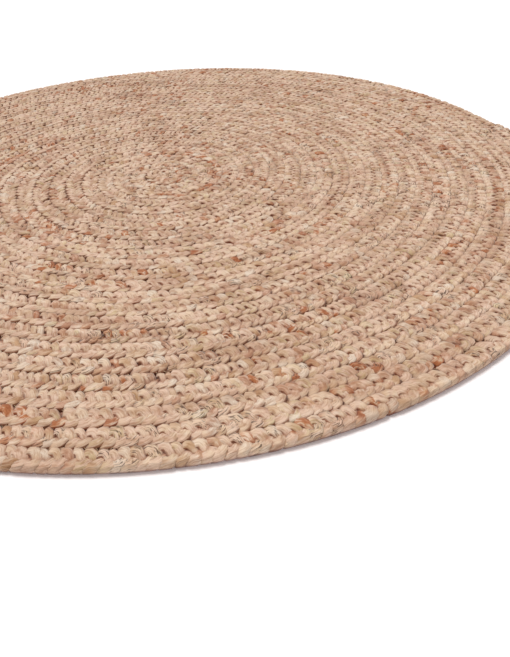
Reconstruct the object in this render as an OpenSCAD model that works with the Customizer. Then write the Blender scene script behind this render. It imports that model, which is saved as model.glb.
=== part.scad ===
// Round rug made of one flat jute braid, coiled on itself from the centre and sewn turn to turn.
// The coil is drawn with two centres: each half turn is a true arc, and the arcs' centres lie half a
// braid apart, so every half turn starts where the last one ended and follows the turn inside it.

/* [Braid] */
// Step from one turn to the next, which is the braid's width with its hairline gap
braid_w = 24.5; // [18:0.5:36]
// Thickness of the flat braid
braid_t = 10; // [6:0.5:16]
// Height of the flat band at each side of the braid, where two neighbouring turns face each other
flank_h = 1; // [0.5:0.25:3]
// Hairline gap that the stitches leave between two neighbouring turns
seam_gap = 0.2; // [0.1:0.05:0.6]
// Number of whole turns from the centre to the edge
turns = 24; // [8:1:26]

/* [Tail] */
// Length of the tapered outer end, measured along the edge of the rug
tail_len = 150; // [90:5:260]
// Width left at the tip of the tapered end
tail_tip_w = 7; // [4:0.5:12]

/* [Sewing] */
// Diameter of the sewing thread
thread_d = 1.2; // [0.6:0.1:2]
// Length of one locking stitch across a joint
tack_len = 16; // [12:1:20]
// Spacing between locking stitches
tack_gap = 3; // [2.5:0.5:5]
// Number of locking stitches at each end of the braid
tack_count = 3; // [2:1:4]

/* [Hidden] */
// Fineness of the long arcs, and of the small round sections
arc_fn = 180;
round_fn = 32;

// Width of the solid braid, and the edge radius that leaves the flat band between its curves
solid_w = braid_w - seam_gap;
edge_r = (braid_t - flank_h) / 2;
thread_r = thread_d / 2;

// Radius about the first centre at which the tapered end lies against the last turn
edge_radius = turns * braid_w;
// Moves the middle of the rug's outline to the origin
origin_shift = [-braid_w / 2, braid_w / 4, 0];

// Depth at which a thread rests on both round edges of the groove between two turns
groove_z = edge_r - sqrt(pow(edge_r + thread_r, 2) - pow(edge_r + seam_gap / 2, 2));

// Angle that the tapered end spans, and the circle that cuts its outer edge
tail_angle = tail_len / edge_radius * 180 / PI;
tail_root = edge_radius + solid_w;
tail_tip = edge_radius + tail_tip_w;
tail_cut_x = (pow(tail_root, 2) - pow(tail_tip, 2)) / (2 * (tail_root - tail_tip * cos(tail_angle)));
tail_cut_r = tail_root - tail_cut_x;
// Middle of the row of locking stitches, as a share of the tapered end
tail_tack_at = 0.45;

jute = [0.85, 0.73, 0.60];
jute_dark = [0.78, 0.65, 0.52];
thread_tone = [0.80, 0.70, 0.56];

function two_digits(n) = n < 10 ? str("0", n) : str(n);
function turn_name(i) = str("braid_turn_", two_digits(i));
function seam_name(i) = str("seam_thread_", two_digits(i));

// Inner radius of half turn k, counted from 0 at the centre of the rug
function inner_r(k) = k * braid_w / 2;

// Section of the braid from its inner side outwards: flat top and bottom, round edges, flat bands
module braid_section(width) {
    translate([0, edge_r]) square([width, flank_h]);
    translate([edge_r, 0]) square([width - 2 * edge_r, braid_t]);
    for (x = [edge_r, width - edge_r])
        for (z = [edge_r, braid_t - edge_r])
            translate([x, z]) circle(r = edge_r, $fn = round_fn);
}

// The outer part of that section, from an axis out to a round edge
module disc_section(radius) {
    translate([0, edge_r]) square([radius, flank_h]);
    square([radius - edge_r, braid_t]);
    for (z = [edge_r, braid_t - edge_r])
        translate([radius - edge_r, z])
            intersection() {
                circle(r = edge_r, $fn = round_fn);
                translate([0, -edge_r]) square([edge_r, 2 * edge_r]);
            }
}

// Turns its child, a section drawn at the given radius, through half turn k
module sweep_half_turn(k, radius) {
    translate([(k % 2) * braid_w / 2, 0, 0])
        rotate([0, 0, (k % 2) * 180])
            rotate_extrude(angle = 180, $fn = arc_fn)
                translate([radius, 0])
                    children();
}

// Two half turns make the plain solid of one whole turn of braid, and the first is closed to its centre
module plain_turn(i) {
    if (i == 1)
        sweep_half_turn(0, 0) disc_section(solid_w);
    else
        sweep_half_turn(2 * i - 2, inner_r(2 * i - 2)) braid_section(solid_w);
    sweep_half_turn(2 * i - 1, inner_r(2 * i - 1)) braid_section(solid_w);
}

// Channels that the locking stitches press into the braid
module tack_beds() {
    start_stitches();
    tail_stitches();
}

// Locking stitches over the joint between the folded start and the first half turn
module start_stitches() {
    for (n = [0:tack_count - 1])
        translate([braid_w / 2 + (n - (tack_count - 1) / 2) * tack_gap, 0, braid_t])
            rotate([90, 0, 0])
                cylinder(h = tack_len, r = thread_r, center = true, $fn = round_fn);
}

// Locking stitches over the groove between the tapered end and the turn inside it
module tail_stitches() {
    step = tack_gap / edge_radius * 180 / PI;
    for (n = [0:tack_count - 1])
        rotate([0, 0, tail_angle * tail_tack_at + (n - (tack_count - 1) / 2) * step])
            translate([edge_radius, 0, braid_t])
                rotate([0, 90, 0])
                    cylinder(h = tack_len, r = thread_r, center = true, $fn = round_fn);
}

// Inner end of the braid, folded under itself to fill the eye of the first turn
module braid_start() {
    color(jute_dark)
        translate(origin_shift)
            difference() {
                sweep_half_turn(1, 0) disc_section(braid_w / 2 - seam_gap);
                start_stitches();
            }
}

// One whole turn of the braid
module braid_turn(i) {
    color(i % 2 == 0 ? jute : jute_dark)
        translate(origin_shift)
            if (i == 1 || i == turns)
                difference() {
                    plain_turn(i);
                    tack_beds();
                }
            else
                plain_turn(i);
}

// Outer end of the braid, tapered until it dies into the edge of the rug
module braid_tail() {
    color(jute_dark)
        translate(origin_shift)
            difference() {
                intersection() {
                    rotate_extrude(angle = tail_angle, $fn = arc_fn * 2)
                        translate([edge_radius, 0])
                            braid_section(2 * braid_w);
                    translate([tail_cut_x, 0, 0])
                        rotate_extrude($fn = arc_fn)
                            disc_section(tail_cut_r);
                }
                tail_stitches();
            }
}

// Needle thread above and bobbin thread below, along the groove outside turn i
module seam_thread(i) {
    color(thread_tone)
        translate(origin_shift)
            for (z = [braid_t - groove_z, groove_z])
                for (k = [2 * i - 2, 2 * i - 1])
                    sweep_half_turn(k, inner_r(k) + braid_w - seam_gap / 2)
                        translate([0, z]) circle(r = thread_r, $fn = round_fn);
}

// The last stretch of both threads, along the tapered end
module seam_thread_tail() {
    color(thread_tone)
        translate(origin_shift)
            for (z = [braid_t - groove_z, groove_z])
                rotate_extrude(angle = tail_angle, $fn = arc_fn * 2)
                    translate([edge_radius - seam_gap / 2, z]) circle(r = thread_r, $fn = round_fn);
}

module start_tack() {
    color(thread_tone) translate(origin_shift) start_stitches();
}

module tail_tack() {
    color(thread_tone) translate(origin_shift) tail_stitches();
}

braid_start();
for (i = [1:turns])
    braid_turn(i);
braid_tail();
for (i = [1:turns - 1])
    seam_thread(i);
seam_thread_tail();
start_tack();
tail_tack();
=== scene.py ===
"""Round jute rug, 1.2 m across: one flat three-strand braid coiled from the centre and sewn turn to turn.

Every size below is in metres. The coil has two centres half a braid apart, so each half turn is a true arc.
Distances along the braid are counted from the centre of the rug outwards, with 0 at the first half turn.
"""

import logging
import math
from collections.abc import Callable
from dataclasses import dataclass, field
from enum import Enum

import bmesh
import bpy
import numpy as np
from mathutils import Euler, Matrix, Vector


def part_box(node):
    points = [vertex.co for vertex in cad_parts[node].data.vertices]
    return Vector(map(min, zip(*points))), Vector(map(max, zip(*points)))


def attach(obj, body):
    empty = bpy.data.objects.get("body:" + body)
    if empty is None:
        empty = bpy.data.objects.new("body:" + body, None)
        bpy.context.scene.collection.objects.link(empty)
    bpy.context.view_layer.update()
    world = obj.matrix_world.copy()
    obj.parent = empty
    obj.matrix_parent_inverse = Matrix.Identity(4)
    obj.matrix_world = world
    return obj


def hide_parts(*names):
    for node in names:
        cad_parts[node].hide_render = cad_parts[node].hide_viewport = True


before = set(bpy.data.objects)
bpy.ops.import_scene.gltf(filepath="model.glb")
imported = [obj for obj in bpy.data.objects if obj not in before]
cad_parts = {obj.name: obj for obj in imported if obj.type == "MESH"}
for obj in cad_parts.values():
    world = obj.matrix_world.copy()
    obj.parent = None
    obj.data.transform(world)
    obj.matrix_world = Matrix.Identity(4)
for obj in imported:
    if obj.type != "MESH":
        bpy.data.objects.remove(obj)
LOG = logging.getLogger("rug")
TURN_NODE = "braid_turn_"
BODY = "root"
STRAND_MAP = "strand"


# ---------------------------------------------------------------------------------------------------------
# Shapes
# ---------------------------------------------------------------------------------------------------------


class Face(Enum):
    """The two faces of the rug, as the sign of the height away from its middle."""

    TOP = 1
    UNDERSIDE = -1


class Wander:
    """A smooth random line along the braid, which makes hand work uneven and is the same on each run."""

    def __init__(self, seed: int, step: float, size: float, reach: float = 60.0) -> None:
        """Draws the line's knots.

        Args:
            seed: Picks one line out of all the possible ones.
            step: Distance between two knots.
            size: Standard deviation of the values.
            reach: Length of braid that the line covers on each side of 0.
        """
        count = int(2 * reach / step) + 4
        self.knots = np.random.default_rng(seed).normal(0.0, size, count).clip(-2.2 * size, 2.2 * size)
        self.step = step
        self.reach = reach

    def __call__(self, along: np.ndarray) -> np.ndarray:
        """Reads the line.

        Args:
            along: Distances along the braid.

        Returns:
            One value for each distance, eased from knot to knot.
        """
        place = (along + self.reach) / self.step
        knot = np.floor(place).astype(int)
        share = place - knot
        share = share * share * (3 - 2 * share)
        return self.knots[knot] * (1 - share) + self.knots[knot + 1] * share


# How a braid is pressed into its room. The shares are of the half width or half height, unless said.
FREE_ASIDE = 0.84  # how far out a strand is left alone
FREE_UP = 0.80  # how far up or down a strand is left alone
FACE_ROOM = 1.06  # how high a crest can stand
FLANK_FILLING = 0.16  # how much fuller a strand is at the flank, where it turns back
RIM_WIDEST = 0.62  # height at which the rug's free rim stands out most, as a share of the thickness
RIM_PULL = 0.06  # how far the free rim is pulled in at that height
RIM_ROUNDING = 0.20  # how much further it is pulled in at the floor


@dataclass
class Room:
    """The room that a braid has between its neighbours, at some places along it.

    The middle is how far outwards the room lies. Free is 1 where the braid has no neighbour outside it.
    """

    middle: np.ndarray
    half_width: np.ndarray
    free: np.ndarray


@dataclass
class Coil:
    """The line that the middle of the braid follows, from the centre of the rug outwards."""

    step: float
    turns: int
    thickness: float
    first_centre: Vector = field(default_factory=Vector)
    tail_length: float = 0.150

    @classmethod
    def from_frame(cls) -> "Coil":
        """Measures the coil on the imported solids."""
        turns = sum(name.startswith(TURN_NODE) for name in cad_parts)
        inner, outer = (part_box(f"{TURN_NODE}{turn:02d}") for turn in (turns - 1, turns))
        step = ((outer[1] - outer[0]).x - (inner[1] - inner[0]).x) / 2
        return cls(step, turns, outer[1].z - outer[0].z, Vector((-step / 2, step / 4, 0)))

    def start_of_half(self, half: int) -> float:
        """Distance along the braid at which a half turn starts, counted from 0."""
        return math.pi * self.step * half * (half + 1) / 4

    def start_of_turn(self, turn: int) -> float:
        """Distance along the braid at which a whole turn starts, counted from 1."""
        return self.start_of_half(2 * turn - 2)

    def place(self, along: np.ndarray, aside: np.ndarray, up: np.ndarray) -> np.ndarray:
        """Finds points beside the middle line of the braid.

        Args:
            along: Distances along the braid. Below 0 it runs straight back from the first half turn.
            aside: Distances outwards from the middle line.
            up: Heights above the floor.

        Returns:
            One row of x, y and z for each point.
        """
        centre_x, centre_y, radius, angle = self.arc(along)
        x = centre_x + (radius + aside) * np.cos(angle)
        y = centre_y + (radius + aside) * np.sin(angle)
        return np.stack([x, y, np.broadcast_to(up, x.shape)], axis=-1)

    def arc(self, along: np.ndarray) -> tuple[np.ndarray, np.ndarray, np.ndarray, np.ndarray]:
        """The arcs that the middle line follows at some distances: centre x and y, radius and angle."""
        reach = np.maximum(along, 0.0)
        half = np.floor((np.sqrt(1 + 16 * reach / (math.pi * self.step)) - 1) / 2)
        half = np.minimum(half, 2 * self.turns)
        radius = (half + 1) * self.step / 2
        begun = math.pi * self.step * half * (half + 1) / 4
        angle = half * math.pi + (reach - begun) / radius
        centre_x = self.first_centre.x + (half % 2) * self.step / 2
        centre_y = self.first_centre.y + np.minimum(along, 0.0)
        return centre_x, centre_y, radius, angle

    def pressed(self, points: np.ndarray, along: np.ndarray, room: Room) -> np.ndarray:
        """Presses points softly into the room that the braid has between its neighbours and its two faces.

        Args:
            points: One row of x, y and z for each point.
            along: How far along the braid each point is.
            room: The room at those places.

        Returns:
            The points, none of them past the flanks or the faces.
        """
        centre_x, centre_y, radius, _ = self.arc(along)
        run_x, run_y = points[..., 0] - centre_x, points[..., 1] - centre_y
        reach = np.hypot(run_x, run_y)
        aside = reach - radius - room.middle
        lean = points[..., 2] / (RIM_WIDEST * self.thickness) - 1
        pulled_in = np.where(aside > 0, room.free * (RIM_PULL + RIM_ROUNDING * lean**2), 0.0)
        aside = eased(aside, room.half_width * (1 - pulled_in), FREE_ASIDE)
        scale = (radius + room.middle + aside) / np.maximum(reach, 1e-6)

        half = self.thickness / 2
        near_flank = np.clip(2.5 * np.abs(aside) / room.half_width - 1.5, 0.0, 1.0)
        up = (points[..., 2] - half) * (1 + FLANK_FILLING * near_flank)
        up = half + eased(up, np.array(half * FACE_ROOM), FREE_UP)
        up = np.maximum(up, 0.0)
        return np.stack([centre_x + run_x * scale, centre_y + run_y * scale, up], axis=-1)


def flattened(wave: np.ndarray, press: float) -> np.ndarray:
    """A wave from -1 to 1 with its crests pressed flat, more so for a larger press."""
    return np.tanh(press * wave) / math.tanh(press)


def eased(values: np.ndarray, limit: np.ndarray, free: float) -> np.ndarray:
    """Values kept within a limit on both sides, and unchanged up to a free share of it."""
    begin = limit * free
    room = limit - begin
    over = np.maximum(np.abs(values) - begin, 0.0)
    return np.sign(values) * (np.minimum(np.abs(values), begin) + room * np.tanh(over / room))


def unit(rows: np.ndarray) -> np.ndarray:
    """Each row at length 1."""
    return rows / np.linalg.norm(rows, axis=-1, keepdims=True)


class Lumps:
    """Uneven swellings of a hand-rolled strand, as a share of its size."""

    def __init__(self, seed: int, size: float, count: int = 9) -> None:
        """Draws the waves that add up to the swellings.

        Args:
            seed: Picks one set of waves out of all the possible ones.
            size: Standard deviation of the swellings.
            count: Number of waves.
        """
        draw = np.random.default_rng(seed)
        self.pace = draw.uniform(25.0, 125.0, count)
        self.folds = draw.integers(-3, 4, count)
        self.begin = draw.uniform(0.0, 1.0, count)
        self.size = size * math.sqrt(2 / count)

    def __call__(self, along: np.ndarray, around: np.ndarray) -> np.ndarray:
        """Reads the swellings at places on the strand's surface, about 1."""
        total = 0.0
        for pace, folds, begin in zip(self.pace, self.folds, self.begin, strict=True):
            total = total + np.sin(2 * math.pi * (along * pace + around * folds + begin))
        return 1 + self.size * total


@dataclass
class Rope:
    """One bendy round or flattened piece, given by its middle line and its section along its length."""

    middle: Callable[[np.ndarray], np.ndarray]
    half_width: Callable[[np.ndarray], np.ndarray]
    half_height: Callable[[np.ndarray], np.ndarray]
    start: float
    end: float
    rings: int
    sides: int
    colour_shift: float = 0.0
    roundness: Callable[[np.ndarray], np.ndarray] | None = None
    lumps: Lumps | None = None
    press: Callable[[np.ndarray, np.ndarray], np.ndarray] | None = None

    def skin(self, share: np.ndarray, around: np.ndarray) -> np.ndarray:
        """Points on the surface.

        Args:
            share: How far along the rope, from 0 to 1.
            around: How far round its section, from 0 to 1.

        Returns:
            One row of x, y and z for each point.
        """
        along = self.start + share * (self.end - self.start)
        nudge = 1e-4
        middle = self.middle(along)
        ahead = unit(self.middle(along + nudge) - self.middle(along - nudge))
        sideways = unit(np.cross([0.0, 0.0, 1.0], ahead))
        upwards = np.cross(ahead, sideways)
        turn = 2 * math.pi * around
        roundness = self.roundness(along) if self.roundness else 1.0
        across = np.sign(np.cos(turn)) * np.abs(np.cos(turn)) ** roundness
        over = np.sign(np.sin(turn)) * np.abs(np.sin(turn)) ** roundness
        swell = self.lumps(along, around) if self.lumps else 1.0
        width, height = self.half_width(along) * across * swell, self.half_height(along) * over * swell
        points = middle + sideways * width[..., None] + upwards * height[..., None]
        return self.press(points, along) if self.press else points

    def lengths(self, share: np.ndarray) -> np.ndarray:
        """Distances along the rope's own middle line, for the pattern on its surface."""
        points = self.middle(self.start + np.linspace(0.0, 1.0, self.rings + 1) * (self.end - self.start))
        steps = np.linalg.norm(np.diff(points, axis=0), axis=1)
        run = np.concatenate([[0.0], np.cumsum(steps)])
        return np.interp(share * self.rings, np.arange(self.rings + 1), run)


def ropes_mesh(name: str, ropes: list[Rope]) -> bpy.types.Object:
    """Makes one object from several ropes, each a closed tube with a map of metres along and share around.

    Args:
        name: Name of the object.
        ropes: The ropes that it holds.

    Returns:
        The new object, with smooth faces that point outwards.
    """
    bm = bmesh.new()
    counts = []
    for rope in ropes:
        before = len(bm.verts)
        bmesh.ops.create_grid(bm, x_segments=rope.rings, y_segments=rope.sides, size=0.5)
        counts.append(len(bm.verts) - before)
    mesh = bpy.data.meshes.new(name)
    bm.to_mesh(mesh)
    bm.free()

    flat = np.empty(len(mesh.vertices) * 3)
    mesh.vertices.foreach_get("co", flat)
    flat = flat.reshape(-1, 3)
    shares, arounds = (np.clip(flat[:, axis] + 0.5, 0.0, 1.0) for axis in (0, 1))
    metres = np.empty(len(flat))
    first = 0
    for rope, count in zip(ropes, counts, strict=True):
        part = slice(first, first + count)
        flat[part] = rope.skin(shares[part], arounds[part] % 1.0)
        metres[part] = rope.colour_shift + rope.lengths(shares[part])
        first += count
    mesh.vertices.foreach_set("co", flat.ravel())
    corner = np.empty(len(mesh.loops), dtype=np.int32)
    mesh.loops.foreach_get("vertex_index", corner)
    place = np.stack([metres[corner], arounds[corner]], axis=-1)
    layer = mesh.uv_layers.new(name=STRAND_MAP)
    layer.data.foreach_set("uv", place.astype(np.float32).ravel())

    bm = bmesh.new()
    bm.from_mesh(mesh)
    bmesh.ops.remove_doubles(bm, verts=bm.verts, dist=1e-6)
    open_edges = [edge for edge in bm.edges if edge.is_boundary]
    bmesh.ops.holes_fill(bm, edges=open_edges, sides=0)
    bmesh.ops.recalc_face_normals(bm, faces=bm.faces)
    bm.to_mesh(mesh)
    bm.free()
    mesh.shade_smooth()
    thing = bpy.data.objects.new(name, mesh)
    bpy.context.scene.collection.objects.link(thing)
    return thing


# ---------------------------------------------------------------------------------------------------------
# Finishes
# ---------------------------------------------------------------------------------------------------------

Colour = tuple[float, float, float]


def linear(red: int, green: int, blue: int) -> Colour:
    """Turns a colour of 0 to 255 a channel, as a painter picks it, into the shader's own scale."""
    shares = (red / 255, green / 255, blue / 255)
    return tuple(part / 12.92 if part <= 0.04045 else ((part + 0.055) / 1.055) ** 2.4 for part in shares)


class Value:
    """A number that varies over a surface. Python's operators on it add Math nodes."""

    def __init__(self, graph: "Graph", socket: bpy.types.NodeSocket) -> None:
        """Keeps the socket and the graph that it belongs to."""
        self.graph = graph
        self.socket = socket

    def _maths(self, operation: str, first: "Value | float", second: "Value | float") -> "Value":
        """Adds one Math node."""
        made = self.graph.node("ShaderNodeMath", {"operation": operation}, {0: first, 1: second})
        return Value(self.graph, made.outputs[0])

    def __add__(self, other: "Value | float") -> "Value":
        """Sum."""
        return self._maths("ADD", self, other)

    __radd__ = __add__

    def __mul__(self, other: "Value | float") -> "Value":
        """Product."""
        return self._maths("MULTIPLY", self, other)

    __rmul__ = __mul__

    def __sub__(self, other: "Value | float") -> "Value":
        """Difference."""
        return self._maths("SUBTRACT", self, other)

    def __rsub__(self, other: "Value | float") -> "Value":
        """Difference, the other way round."""
        return self._maths("SUBTRACT", other, self)

    def __truediv__(self, other: "Value | float") -> "Value":
        """Quotient."""
        return self._maths("DIVIDE", self, other)

    def __pow__(self, other: "Value | float") -> "Value":
        """Power."""
        return self._maths("POWER", self, other)

    def cosine(self) -> "Value":
        """Cosine."""
        return self._maths("COSINE", self, 0.0)

    def sine(self) -> "Value":
        """Sine."""
        return self._maths("SINE", self, 0.0)

    def between(self, low: float, high: float) -> "Value":
        """A smooth step from 0 at low to 1 at high."""
        settings = {"interpolation_type": "SMOOTHSTEP"}
        sockets = {"Value": self, "From Min": low, "From Max": high}
        made = self.graph.node("ShaderNodeMapRange", settings, sockets)
        return Value(self.graph, made.outputs["Result"])


class Blend(Enum):
    """Ways in which a second colour comes over a first one."""

    MIX = "MIX"
    STAIN = "MULTIPLY"


class Graph:
    """The nodes of one material."""

    def __init__(self, name: str) -> None:
        """Starts a material with a surface shader and nothing varying."""
        self.material = bpy.data.materials.new(name)
        self.material.use_nodes = True
        self.tree = self.material.node_tree
        self.shader = self.tree.nodes["Principled BSDF"]

    def node(self, kind: str, settings: dict | None = None, sockets: dict | None = None) -> bpy.types.Node:
        """Adds one node.

        Args:
            kind: Blender's name for the node's type.
            settings: Properties, which are set before the sockets. A ramp's stops are given as "stops".
            sockets: Values or links for its inputs, by name or number.

        Returns:
            The node.
        """
        made = self.tree.nodes.new(kind)
        for name, value in (settings or {}).items():
            if name == "stops":
                self._set_stops(made.color_ramp, value)
            else:
                setattr(made, name, value)
        for name, value in (sockets or {}).items():
            self.feed(made.inputs[name], value)
        return made

    def feed(self, socket: bpy.types.NodeSocket, value: object) -> None:
        """Links a socket, or sets it where the value is plain."""
        if isinstance(value, Value):
            value = value.socket
        if isinstance(value, bpy.types.NodeSocket):
            self.tree.links.new(value, socket)
        elif socket.type == "RGBA":
            socket.default_value = (*value, 1.0)
        else:
            socket.default_value = value

    @staticmethod
    def _set_stops(ramp: bpy.types.ColorRamp, stops: list[tuple[float, Colour]]) -> None:
        """Puts a ramp's colours at their places."""
        while len(ramp.elements) < len(stops):
            ramp.elements.new(1.0)
        for element, (place, colour) in zip(ramp.elements, stops, strict=True):
            element.position = place
            element.color = (*colour, 1.0)

    def mix(
        self, share: Value | float, first: object, second: object, blend: Blend = Blend.MIX
    ) -> bpy.types.NodeSocket:
        """A colour between two others, or a share of the first one's product with the second."""
        made = self.node("ShaderNodeMix", {"data_type": "RGBA", "blend_type": blend.value})
        self.feed(made.inputs[0], share)
        self.feed(made.inputs[6], first)
        self.feed(made.inputs[7], second)
        return made.outputs[2]

    def noise_along(self, along: Value, per_metre: float, shift: float, detail: float = 1.0) -> Value:
        """Soft random values along a line, from about 0.2 to 0.8."""
        settings = {"noise_dimensions": "1D"}
        sockets = {"W": along * per_metre + shift, "Scale": 1.0, "Detail": detail, "Roughness": 0.5}
        return Value(self, self.node("ShaderNodeTexNoise", settings, sockets).outputs[0])

    def noise_on(self, vector: bpy.types.NodeSocket, detail: float = 2.0) -> Value:
        """Soft random values in space."""
        sockets = {"Vector": vector, "Scale": 1.0, "Detail": detail, "Roughness": 0.6}
        return Value(self, self.node("ShaderNodeTexNoise", {}, sockets).outputs[0])

    def rolled(self, along: Value, around: Value, per_metre: float, girth: float) -> bpy.types.NodeSocket:
        """A place for streaks that run along a round piece and close up behind it.

        Args:
            along: Metres along the piece.
            around: Share of the way round it.
            per_metre: How fast the pattern changes along the piece.
            girth: How many times it changes round the piece, about.

        Returns:
            The place, to feed to a texture.
        """
        angle = around * (2 * math.pi)
        parts = {"X": along * per_metre, "Y": angle.cosine() * girth, "Z": angle.sine() * girth}
        return self.node("ShaderNodeCombineXYZ", {}, parts).outputs[0]

    def strand_map(self) -> tuple[Value, Value]:
        """Metres along the strand, and share of the way round it."""
        source = self.node("ShaderNodeUVMap", {"uv_map": STRAND_MAP})
        parts = self.node("ShaderNodeSeparateXYZ", {}, {0: source.outputs[0]})
        return Value(self, parts.outputs[0]), Value(self, parts.outputs[1])

    def ring_place(self, per_metre: float, girth: float) -> bpy.types.NodeSocket:
        """A place that changes from turn to turn, and slowly round the rug.

        Args:
            per_metre: How fast the pattern changes outwards.
            girth: How many times it changes round the rug, about.

        Returns:
            The place, to feed to a texture.
        """
        x, y, _ = self.place()
        radius = self.radius()
        place = {"X": radius * per_metre, "Y": x / radius * girth, "Z": y / radius * girth}
        return self.node("ShaderNodeCombineXYZ", {}, place).outputs[0]

    def place(self) -> tuple[Value, Value, Value]:
        """Distances from the middle of the rug's underside along x, y and z, in metres."""
        source = self.node("ShaderNodeTexCoord")
        parts = self.node("ShaderNodeSeparateXYZ", {}, {0: source.outputs["Object"]})
        return tuple(Value(self, output) for output in parts.outputs)

    def radius(self) -> Value:
        """Distance from the upright line through the middle of the rug."""
        x, y, _ = self.place()
        return (x * x + y * y + 1e-6) ** 0.5


@dataclass(frozen=True)
class Grain:
    """Random patterns over a strand, and where each place of it lies in the rug. All run from 0 to 1."""

    graph: Graph
    along: Value
    bundles: Value
    fibres: Value
    blots: Value
    flecks: Value
    inside: Value
    low: Value
    deep: Value
    flanks: Value

    @classmethod
    def on(cls, graph: Graph, rim: float) -> "Grain":
        """Draws the patterns.

        Args:
            graph: The material's nodes.
            rim: Radius at which the rug's outer edge begins.

        Returns:
            The patterns.
        """
        along, around = graph.strand_map()

        def streaks(per_metre: float, girth: float, detail: float) -> Value:
            """One random pattern that runs along the strand."""
            return graph.noise_on(graph.rolled(along, around, per_metre, girth), detail)

        height = graph.place()[2]
        inside = 1.0 - graph.radius().between(rim - 0.006, rim)
        steep = 1.0 - ((around * (2 * math.pi)).sine() ** 2.0).between(0.14, 0.60)
        return cls(
            graph,
            along,
            bundles=streaks(80.0, 2.0, 2.0),
            fibres=streaks(110.0, 6.0, 3.0),
            blots=streaks(140.0, 1.7, 3.0),
            flecks=streaks(190.0, 5.0, 1.0),
            inside=inside,
            # Below 6 mm: only the painted shade at the foot of the free edge uses this.
            low=1.0 - height.between(0.0020, 0.0060),
            # Low places between lobes, inside the rim: painted crease shade, and a little of the rust.
            deep=(1.0 - height.between(0.0060, 0.0095)) * height.between(0.002, 0.006) * inside,
            # The strands' steep sides, inside the rim: painted crease shade.
            flanks=steep * height.between(0.0060, 0.0085) * inside,
        )

    def stretches(self, per_metre: float, shift: float, low: float, high: float) -> Value:
        """Random stretches along the strand: 1 on them and 0 off them, with soft ends."""
        return self.graph.noise_along(self.along, per_metre, shift).between(low, high)


@dataclass(frozen=True)
class JuteFinish:
    """Undyed jute fibre: sandy, with stretches of paler, tan, rust and brown fibre in each strand."""

    name: str = "jute"
    pale: Colour = linear(233, 215, 195)
    sandy: Colour = linear(231, 204, 175)
    warm: Colour = linear(230, 199, 176)
    tan: Colour = linear(201, 163, 126)
    olive: Colour = linear(205, 186, 136)
    rust: Colour = linear(188, 116, 68)
    bark: Colour = linear(74, 48, 34)
    shade: Colour = linear(190, 155, 126)
    # Painted shade for the creases and the strands' steep sides; also the colour of worn stretches.
    crease_shade_and_wear: Colour = linear(178, 122, 90)
    # Painted shade for the foot of the rug's free edge.
    rim_foot_shade: Colour = linear(158, 132, 138)
    roughness: float = 0.86
    fuzz: float = 0.25
    rim: float = 0.590
    relief: float = 0.0013

    def undyed(self, grain: Grain) -> bpy.types.NodeSocket:
        """The fibre's own colour, which changes from stretch to stretch of a strand."""
        graph = grain.graph
        tone = graph.noise_along(grain.along, 27.0, 3.0, detail=2.0)
        shares = (0.28, 0.43, 0.52, 0.60, 0.74)
        colours = (self.pale, self.sandy, self.warm, self.sandy, self.tan)
        stops = list(zip(shares, colours, strict=True))
        colour = graph.node("ShaderNodeValToRGB", {"stops": stops}, {0: tone}).outputs[0]
        colour = graph.mix((1.0 - grain.bundles.between(0.34, 0.50)) * 0.4, colour, self.pale)
        greenish = grain.stretches(8.0, 55.0, 0.58, 0.70) * grain.bundles.between(0.42, 0.60)
        return graph.mix(greenish * 0.5, colour, self.olive)

    def marked(self, grain: Grain, colour: bpy.types.NodeSocket) -> bpy.types.NodeSocket:
        """Adds rust-coloured lobes, streaks, darker rings, worn places and specks of bark."""
        graph = grain.graph
        rusty = grain.stretches(2.2, 40.0, 0.57, 0.66) * grain.stretches(30.0, 71.0, 0.46, 0.62)
        rusty = rusty * (grain.blots.between(0.34, 0.54) * 0.95 + grain.deep * 0.15)
        colour = graph.mix(rusty, colour, self.rust)
        colour = graph.mix(grain.fibres.between(0.42, 0.66) * 0.42, colour, self.shade, Blend.STAIN)
        rings = graph.noise_on(graph.ring_place(52.0, 3.0))
        colour = graph.mix(rings.between(0.42, 0.66) * 0.42, colour, self.shade, Blend.STAIN)
        worn = grain.stretches(24.0, 91.0, 0.60, 0.72) * grain.blots.between(0.30, 0.55)
        colour = graph.mix(worn * 0.6, colour, self.crease_shade_and_wear)
        bark = grain.stretches(7.0, 23.0, 0.58, 0.68) * grain.flecks.between(0.52, 0.64)
        colour = graph.mix(bark * 0.8, colour, self.bark)
        return graph.mix(grain.blots.between(0.48, 0.68) * 0.52, colour, self.shade, Blend.STAIN)

    def painted_shade(self, grain: Grain, colour: bpy.types.NodeSocket) -> bpy.types.NodeSocket:
        """Darkens, as painted shade, the creases between the lobes and the strands' steep sides, and the
        foot of the rug's free edge.
        """
        graph = grain.graph
        # Painted shade on the strands' steep sides and in the low creases between lobes and turns.
        colour = graph.mix(grain.flanks * 0.8, colour, self.crease_shade_and_wear, Blend.STAIN)
        colour = graph.mix(grain.deep * 0.8, colour, self.crease_shade_and_wear, Blend.STAIN)
        # Painted shade, mauve, at the foot of the rug's free edge below 6 mm.
        return graph.mix(grain.low * (1.0 - grain.inside) * 0.9, colour, self.rim_foot_shade, Blend.STAIN)

    def make(self) -> bpy.types.Material:
        """Builds the material."""
        graph = Graph(self.name)
        grain = Grain.on(graph, self.rim)
        colour = self.painted_shade(grain, self.marked(grain, self.undyed(grain)))
        graph.feed(graph.shader.inputs["Base Color"], colour)
        graph.feed(graph.shader.inputs["Roughness"], grain.fibres * 0.16 + (self.roughness - 0.08))
        graph.shader.inputs["Specular IOR Level"].default_value = 0.25
        graph.shader.inputs["Sheen Weight"].default_value = self.fuzz
        graph.shader.inputs["Sheen Roughness"].default_value = 0.5
        height = grain.bundles + grain.blots * 0.7 + grain.fibres * 0.35
        bump = {"Height": height, "Strength": 0.9, "Distance": self.relief}
        graph.feed(graph.shader.inputs["Normal"], graph.node("ShaderNodeBump", {}, bump).outputs[0])
        return graph.material


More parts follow.
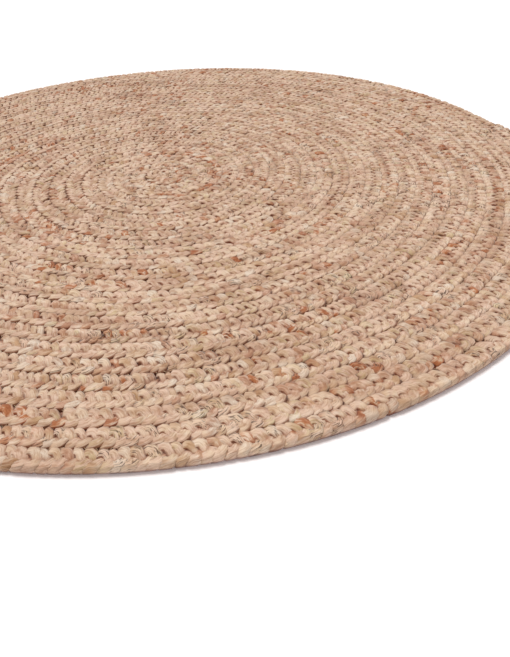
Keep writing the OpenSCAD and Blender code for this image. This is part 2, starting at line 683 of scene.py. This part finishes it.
@dataclass(frozen=True)
class ThreadFinish:
    """Plain spun sewing thread."""

    name: str = "thread"
    light: Colour = linear(206, 176, 142)
    ply_groove_shade: Colour = linear(150, 118, 88)
    roughness: float = 0.8
    plies_per_metre: float = 420.0
    relief: float = 0.0003

    def make(self) -> bpy.types.Material:
        """Builds the material."""
        graph = Graph(self.name)
        along, around = graph.strand_map()
        twist = (along * (self.plies_per_metre * 2 * math.pi) + around * (4 * math.pi)).sine() * 0.5 + 0.5
        # Painted shade: darker in the grooves between the plies, where the bump is low, and lighter on
        # their crests.
        colour = graph.mix(twist, self.ply_groove_shade, self.light)
        graph.feed(graph.shader.inputs["Base Color"], colour)
        graph.shader.inputs["Roughness"].default_value = self.roughness
        bump = {"Height": twist, "Strength": 0.5, "Distance": self.relief}
        graph.feed(graph.shader.inputs["Normal"], graph.node("ShaderNodeBump", {}, bump).outputs[0])
        return graph.material


# ---------------------------------------------------------------------------------------------------------
# Sub-assemblies
# ---------------------------------------------------------------------------------------------------------


def make_piece(name: str, node: str, ropes: list[Rope], finish: bpy.types.Material) -> None:
    """Makes one piece of the rug, and gives it its finish and its place.

    Args:
        name: Name of the piece.
        node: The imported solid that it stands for.
        ropes: What the piece is made of.
        finish: Its material.
    """
    piece = ropes_mesh(name, ropes)
    piece.data.materials.append(finish)
    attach(piece, BODY)
    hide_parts(node)
    LOG.info("%s: %d faces", piece.name, len(piece.data.polygons))


@dataclass
class Braid:
    """The flat three-strand braid, as whole turns, its folded inner end and its tapered outer end."""

    coil: Coil
    finish: bpy.types.Material
    repeat: float = 0.0305
    repeat_spread: float = 0.17
    swing: float = 0.0084
    dip: float = 0.0019
    edge_press: float = 1.2
    top_press: float = 1.6
    flank: float = 0.0132
    flat_half_width: float = 0.0053
    flat_half_height: float = 0.0033
    flat_roundness: float = 0.76
    edge_half_width: float = 0.0066
    edge_half_height: float = 0.0050
    edge_roundness: float = 0.55
    rings_per_repeat: int = 17
    sides: int = 10
    slip_size: float = 0.0014
    sway_size: float = 0.0007
    lift_size: float = 0.0004
    girth_size: float = 0.14
    waver_size: float = 0.0006
    lumpiness: float = 0.075
    strands: int = 3
    tail_tip: float = 0.007
    tail_hollow: float = 1.6
    fold_depth: float = 0.8

    def __post_init__(self) -> None:
        """Draws the unevenness of each strand."""
        third = self.repeat / 3
        seeds = range(1, self.strands + 1)
        self.slip = [Wander(10 * seed, third * 1.7, self.slip_size) for seed in seeds]
        self.sway = [Wander(10 * seed + 1, third * 1.3, self.sway_size) for seed in seeds]
        self.lift = [Wander(10 * seed + 2, third * 1.3, self.lift_size) for seed in seeds]
        self.girth = [Wander(10 * seed + 3, third * 1.5, self.girth_size) for seed in seeds]
        self.lumps = [Lumps(10 * seed + 4, self.lumpiness) for seed in seeds]
        self.waver = Wander(7, 0.06, self.waver_size)
        step = 0.01
        self.places = np.arange(-0.2, self.coil.start_of_turn(self.coil.turns + 2), step)
        self.stretch = np.exp(Wander(6, 0.40, self.repeat_spread)(self.places))
        self.cycles = np.cumsum(step / (self.repeat * self.stretch))

    def phase(self, strand: int, along: np.ndarray) -> np.ndarray:
        """How far a strand is through its figure of eight."""
        cycles = np.interp(along + self.slip[strand](along), self.places, self.cycles)
        return 2 * math.pi * (cycles + strand / self.strands)

    def strand(self, strand: int, start: float, end: float, narrowing: Callable | None = None) -> Rope:
        """One strand over a stretch of the braid.

        Args:
            strand: Which of the strands, from 0.
            start: Where the stretch starts along the braid.
            end: Where it ends.
            narrowing: Gives the braid's share of its full width, and how far its middle moves, along it.

        Returns:
            The strand as a rope.
        """
        share = narrowing or (lambda along: (np.ones_like(along), np.zeros_like(along)))
        middle_height = self.coil.thickness / 2

        def middle(along: np.ndarray) -> np.ndarray:
            """Points on the strand's middle line."""
            phase = self.phase(strand, along)
            width, move = share(along)
            swing = flattened(np.sin(phase), self.edge_press)
            dip = flattened(np.sin(2 * phase), self.top_press)
            aside = (self.swing * swing + self.sway[strand](along)) * width + self.waver(along) + move
            up = middle_height - self.dip * dip + self.lift[strand](along)
            return self.coil.place(along, aside, up)

        def turned(along: np.ndarray) -> np.ndarray:
            """1 where the strand turns back at the braid's edge, and 0 in the middle."""
            return np.sin(self.phase(strand, along)) ** 6

        def half_width(along: np.ndarray) -> np.ndarray:
            """Half of the strand's width, more where the braid is plaited loosely."""
            edge = turned(along)
            loose = np.interp(along, self.places, self.stretch)
            flat, turning = self.flat_half_width * loose**0.75, self.edge_half_width * loose**0.4
            size = flat * (1 - edge) + turning * edge
            return size * (1 + self.girth[strand](along)) * share(along)[0] ** 0.7

        def half_height(along: np.ndarray) -> np.ndarray:
            """Half of the strand's height."""
            edge = turned(along)
            size = self.flat_half_height * (1 - edge) + self.edge_half_height * edge
            return size * (1 + 0.4 * self.girth[strand](along)) * share(along)[0] ** 0.3

        def roundness(along: np.ndarray) -> np.ndarray:
            """How round the section is: 1 for an ellipse, and less where it fills its corners."""
            edge = turned(along)
            return self.flat_roundness * (1 - edge) + self.edge_roundness * edge

        def press(points: np.ndarray, along: np.ndarray) -> np.ndarray:
            """Points pressed between the neighbouring turns."""
            width, move = share(along)
            covered = self.coil.start_of_turn(self.coil.turns) + self.coil.tail_length
            free = np.clip((along - covered) / self.coil.tail_length * 4, 0.0, 1.0)
            return self.coil.pressed(points, along, Room(move, self.flank * width, free))

        return Rope(
            middle,
            half_width,
            half_height,
            start,
            end,
            rings=max(8, round((end - start) / self.repeat * self.rings_per_repeat)),
            sides=self.sides,
            colour_shift=100.0 * strand + 1.25 * max(start, 0.0),
            roundness=roundness,
            lumps=self.lumps[strand],
            press=press,
        )

    def make_turn(self, turn: int) -> None:
        """Builds one whole turn."""
        start, end = self.coil.start_of_turn(turn), self.coil.start_of_turn(turn + 1)
        ropes = [self.strand(strand, start, end) for strand in range(self.strands)]
        make_piece(f"turn_{turn:02d}_strands", f"{TURN_NODE}{turn:02d}", ropes, self.finish)

    def make_start(self) -> None:
        """Builds the folded inner end, whose strands close up in a half round."""
        depth = self.coil.step / 2

        def fold(along: np.ndarray) -> tuple[np.ndarray, np.ndarray]:
            """The half round that the fold fills."""
            back = np.clip(-along / depth, 0.0, 0.97)
            return np.sqrt(1 - back * back), np.zeros_like(along)

        ropes = [self.strand(strand, -self.fold_depth * depth, 0.0, fold) for strand in range(self.strands)]
        make_piece("start_strands", "braid_start", ropes, self.finish)

    def make_tail(self) -> None:
        """Builds the outer end, whose strands thin out as they run into the rug's edge."""
        begun = self.coil.start_of_turn(self.coil.turns + 1)
        full = self.coil.step

        def taper(along: np.ndarray) -> tuple[np.ndarray, np.ndarray]:
            """The crescent that the tail fills."""
            share = np.clip((along - begun) / self.coil.tail_length, 0.0, 1.0)
            width = full + (self.tail_tip - full) * share**self.tail_hollow
            return width / full, (width - full) / 2

        end = begun + self.coil.tail_length
        ropes = [self.strand(strand, begun, end, taper) for strand in range(self.strands)]
        make_piece("tail_strands", "braid_tail", ropes, self.finish)

    def make(self) -> None:
        """Builds the whole braid."""
        self.make_start()
        for turn in range(1, self.coil.turns + 1):
            self.make_turn(turn)
        self.make_tail()


@dataclass
class Seam:
    """The zigzag that sews each turn to the next: needle thread on top, bobbin thread underneath."""

    coil: Coil
    finish: bpy.types.Material
    stitch: float = 0.009
    reach: float = 0.0026
    half_thickness: float = 0.0005
    crossing_depth: float = 0.0017
    corner_depth: float = 0.0030
    tail_length: float = 0.145

    def zigzag(self, face: Face, start: float, end: float, shift: float) -> Rope:
        """One thread over a stretch of the coil.

        Args:
            face: The side of the rug that it lies on.
            start: Where the stretch starts along the braid that it follows on the outside.
            end: Where it ends.
            shift: Distance outwards from the middle of that braid to the seam.

        Returns:
            The thread as a rope.
        """

        def middle(along: np.ndarray) -> np.ndarray:
            """Points on the thread's middle line."""
            place = along / self.stitch
            swing = 4 * np.abs(place % 1.0 - 0.5) - 1
            depth = self.crossing_depth + (self.corner_depth - self.crossing_depth) * swing**2
            half = self.coil.thickness / 2
            return self.coil.place(along, shift + self.reach * swing, half + face.value * (half - depth))

        def thick(along: np.ndarray) -> np.ndarray:
            """Half of the thread's thickness."""
            return np.full_like(along, self.half_thickness)

        points, sides = (4, 4) if face is Face.TOP else (2, 3)
        whole = max(1, round((end - start) / self.stitch))
        return Rope(middle, thick, thick, start, start + whole * self.stitch, whole * points, sides)

    def make(self) -> None:
        """Builds both threads of every row."""
        shift = self.coil.step / 2
        for turn in range(1, self.coil.turns):
            start, end = self.coil.start_of_turn(turn), self.coil.start_of_turn(turn + 1)
            ropes = [self.zigzag(face, start, end, shift) for face in Face]
            make_piece(f"seam_{turn:02d}_zigzag", f"seam_thread_{turn:02d}", ropes, self.finish)
        start = self.coil.start_of_turn(self.coil.turns)
        ropes = [self.zigzag(face, start, start + self.tail_length, shift) for face in Face]
        make_piece("seam_tail_zigzag", "seam_thread_tail", ropes, self.finish)


@dataclass
class Tacks:
    """Locking stitches: short loops of thread over a joint, with both ends sunk in the braid."""

    coil: Coil
    finish: bpy.types.Material
    length: float = 0.016
    gap: float = 0.003
    count: int = 3
    half_thickness: float = 0.0006
    sink: float = 0.004
    bedding: float = 0.0002
    tail_place: float = 0.45

    def loop(self, centre: Vector, direction: Vector) -> Rope:
        """One stitch.

        Args:
            centre: Its middle, on top of the braid.
            direction: The way it crosses the joint.

        Returns:
            The stitch as a rope.
        """
        middle_point, across = np.array(centre), np.array(direction)

        def middle(along: np.ndarray) -> np.ndarray:
            """Points on the stitch's middle line."""
            drop = self.sink * np.abs(2 * along / self.length) ** 5
            return middle_point + along[..., None] * across - drop[..., None] * np.array([0.0, 0.0, 1.0])

        def thick(along: np.ndarray) -> np.ndarray:
            """Half of the thread's thickness."""
            return np.full_like(along, self.half_thickness)

        return Rope(middle, thick, thick, -self.length / 2, self.length / 2, 12, 8)

    def offsets(self) -> list[float]:
        """Places of the stitches along the joint, about its middle."""
        return [(number - (self.count - 1) / 2) * self.gap for number in range(self.count)]

    def make(self) -> None:
        """Builds both rows of locking stitches."""
        top = self.coil.thickness - self.bedding
        centre = self.coil.first_centre
        start = [
            self.loop(Vector((centre.x + self.coil.step / 2 + offset, centre.y, top)), Vector((0, 1, 0)))
            for offset in self.offsets()
        ]
        radius = self.coil.turns * self.coil.step
        tail = []
        for offset in self.offsets():
            angle = (self.coil.tail_length * self.tail_place + offset) / radius
            outwards = Vector((math.cos(angle), math.sin(angle), 0))
            tail.append(self.loop(centre + outwards * radius + Vector((0, 0, top)), outwards))
        for name, ropes in (("start_tack", start), ("tail_tack", tail)):
            make_piece(f"{name}_loops", name, ropes, self.finish)


@dataclass
class Studio:
    """A pale floor, soft light from above, and the camera."""

    eye: tuple[float, float, float] = (0.123, -0.970, 0.430)
    pitch_down: float = 36.85
    roll: float = -3.1
    lens: float = 36.0
    floor_size: float = 40.0
    floor_colour: Colour = linear(250, 250, 250)
    floor_glow: float = 0.14
    glow_colour: Colour = (1.0, 0.82, 0.82)
    fill: float = 0.42
    fill_colour: Colour = (1.0, 0.95, 0.94)
    lamp_strength: float = 2.22
    lamp_width: float = 26.0
    lamp_from: tuple[float, float, float] = (-0.46, 0.48, 2.0)

    def make_camera(self) -> None:
        """Puts the camera where a person standing close looks across the rug."""
        data = bpy.data.cameras.new("camera")
        data.lens = self.lens
        data.sensor_width = 36.0
        data.clip_start = 0.01
        camera = bpy.data.objects.new("camera", data)
        tilt = Euler((math.radians(90 - self.pitch_down), 0, 0)).to_matrix().to_4x4()
        roll = Matrix.Rotation(math.radians(self.roll), 4, "Z")
        camera.matrix_world = Matrix.Translation(Vector(self.eye)) @ tilt @ roll
        bpy.context.scene.collection.objects.link(camera)
        bpy.context.scene.camera = camera

    def make_floor(self) -> None:
        """Lays the floor, just under the rug."""
        bm = bmesh.new()
        bmesh.ops.create_grid(bm, x_segments=1, y_segments=1, size=self.floor_size / 2)
        mesh = bpy.data.meshes.new("floor")
        bm.to_mesh(mesh)
        bm.free()
        floor = bpy.data.objects.new("floor", mesh)
        bpy.context.scene.collection.objects.link(floor)
        graph = Graph("floor")
        graph.shader.inputs["Base Color"].default_value = (*self.floor_colour, 1.0)
        graph.shader.inputs["Roughness"].default_value = 0.9
        graph.shader.inputs["Specular IOR Level"].default_value = 0.1
        graph.shader.inputs["Emission Color"].default_value = (*self.glow_colour, 1.0)
        graph.shader.inputs["Emission Strength"].default_value = self.floor_glow
        mesh.materials.append(graph.material)

    def make_light(self) -> None:
        """Hangs one wide lamp high above, and fills softly from all round."""
        world = bpy.data.worlds.new("studio")
        world.use_nodes = True
        surroundings = world.node_tree.nodes["Background"]
        surroundings.inputs["Color"].default_value = (*self.fill_colour, 1.0)
        surroundings.inputs["Strength"].default_value = self.fill
        bpy.context.scene.world = world
        lamp = bpy.data.lights.new("softbox", "SUN")
        lamp.angle = math.radians(self.lamp_width)
        lamp.energy = self.lamp_strength
        holder = bpy.data.objects.new("softbox", lamp)
        place = Vector(self.lamp_from)
        holder.matrix_world = Matrix.Translation(place) @ place.to_track_quat("Z", "Y").to_matrix().to_4x4()
        bpy.context.scene.collection.objects.link(holder)

    def make(self) -> None:
        """Sets the whole studio up."""
        bpy.context.scene.view_settings.view_transform = "Standard"
        self.make_camera()
        self.make_floor()
        self.make_light()


def main() -> None:
    """Builds the rug around its frame."""
    logging.basicConfig(level=logging.INFO, format="%(name)s: %(message)s")
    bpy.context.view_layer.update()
    coil = Coil.from_frame()
    jute, thread = JuteFinish().make(), ThreadFinish().make()
    Studio().make()
    Braid(coil, jute).make()
    Seam(coil, thread).make()
    Tacks(coil, thread).make()


if __name__ == "__main__":
    main()
